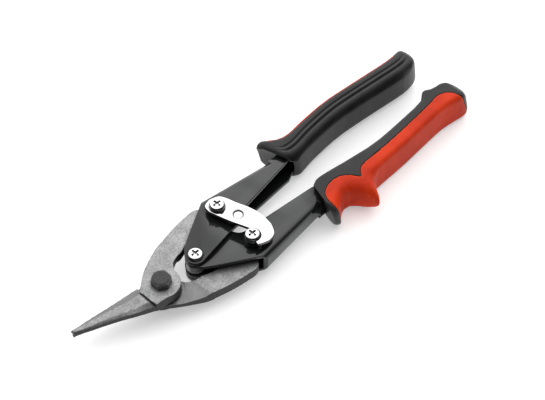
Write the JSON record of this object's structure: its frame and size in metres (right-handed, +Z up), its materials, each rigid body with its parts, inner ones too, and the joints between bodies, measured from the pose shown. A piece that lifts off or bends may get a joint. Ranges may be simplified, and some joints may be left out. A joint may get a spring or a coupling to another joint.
{
  "type": "aviation snips",
  "caption": "Left-cut compound-action aviation snips with forged blades, pressed-steel handles, a swinging closing latch and rubber grips.",
  "frame": {"origin": "centre of the main pivot bolt's flat end, on the main pivot axis and in the plane the tool rests on", "axes": "+X from the main pivot towards the grips along the closed tool, +Y towards the left handle, +Z up along the pivots, from the bolt's end to its head"},
  "size_m": [0.2538, 0.0677, 0.0248],
  "materials": {
    "forged_steel": "satin, lightly pitted drop-forged steel",
    "black_oxide": "black oxide",
    "black_lacquer": "gloss black lacquer on pressed steel",
    "bright_plate": "bright plating",
    "spring_steel": "oiled dark spring wire",
    "grip_rubber": "satin dark grey moulded rubber",
    "inlay_rubber": "satin orange-red soft inlay"
  },
  "bodies": {
    "right_handle": {"right_channel": "black_lacquer", "right_grip": "grip_rubber", "right_grip_inlay": "inlay_rubber", "catch_screw": "bright_plate", "catch_collar": "bright_plate", "catch_screw_nut": "bright_plate", "right_tail_spacer": "bright_plate", "handle_pivot_screw": "bright_plate", "handle_pivot_nut": "bright_plate", "spring_bush": "bright_plate", "return_spring": "spring_steel"},
    "left_handle": {"left_channel": "black_lacquer", "left_grip": "grip_rubber", "left_grip_inlay": "inlay_rubber", "latch_screw": "bright_plate", "latch_screw_nut": "bright_plate", "latch_wave_washer": "bright_plate", "left_tail_spacer": "bright_plate"},
    "lower_blade": {"lower_blade": "forged_steel", "pivot_bolt": "black_oxide", "pivot_washer": "bright_plate", "pivot_nut": "black_oxide"},
    "upper_blade": {"upper_blade": "forged_steel"},
    "latch": {"latch": "bright_plate"}
  },
  "joints": [
    {"name": "handles_open", "type": "hinge", "parent": "right_handle", "child": "left_handle", "pos_m": [0.0225, 0, 0.011], "axis": [0, 0, 1], "range_deg": [0, 44]},
    {"name": "lower_blade_pin", "type": "hinge", "parent": "right_handle", "child": "lower_blade", "pos_m": [0.0492, -0.0126, 0.011], "axis": [0, 0, 1], "range_deg": [0, 11]},
    {"name": "jaws_open", "type": "hinge", "parent": "lower_blade", "child": "upper_blade", "pos_m": [0, 0, 0.011], "axis": [0, 0, 1], "range_deg": [0, 22.5]},
    {"name": "latch_swing", "type": "hinge", "parent": "left_handle", "child": "latch", "pos_m": [0.0492, 0.0126, 0.011], "axis": [0, 0, 1], "range_deg": [0, 100]}
  ],
  "couplings": [
    {"joint": "lower_blade_pin", "follows": "handles_open", "ratio": 0.2474},
    {"joint": "jaws_open", "follows": "handles_open", "ratio": 0.5051},
    {"joint": "latch_swing", "follows": "handles_open", "ratio": 2.2727}
  ]
}
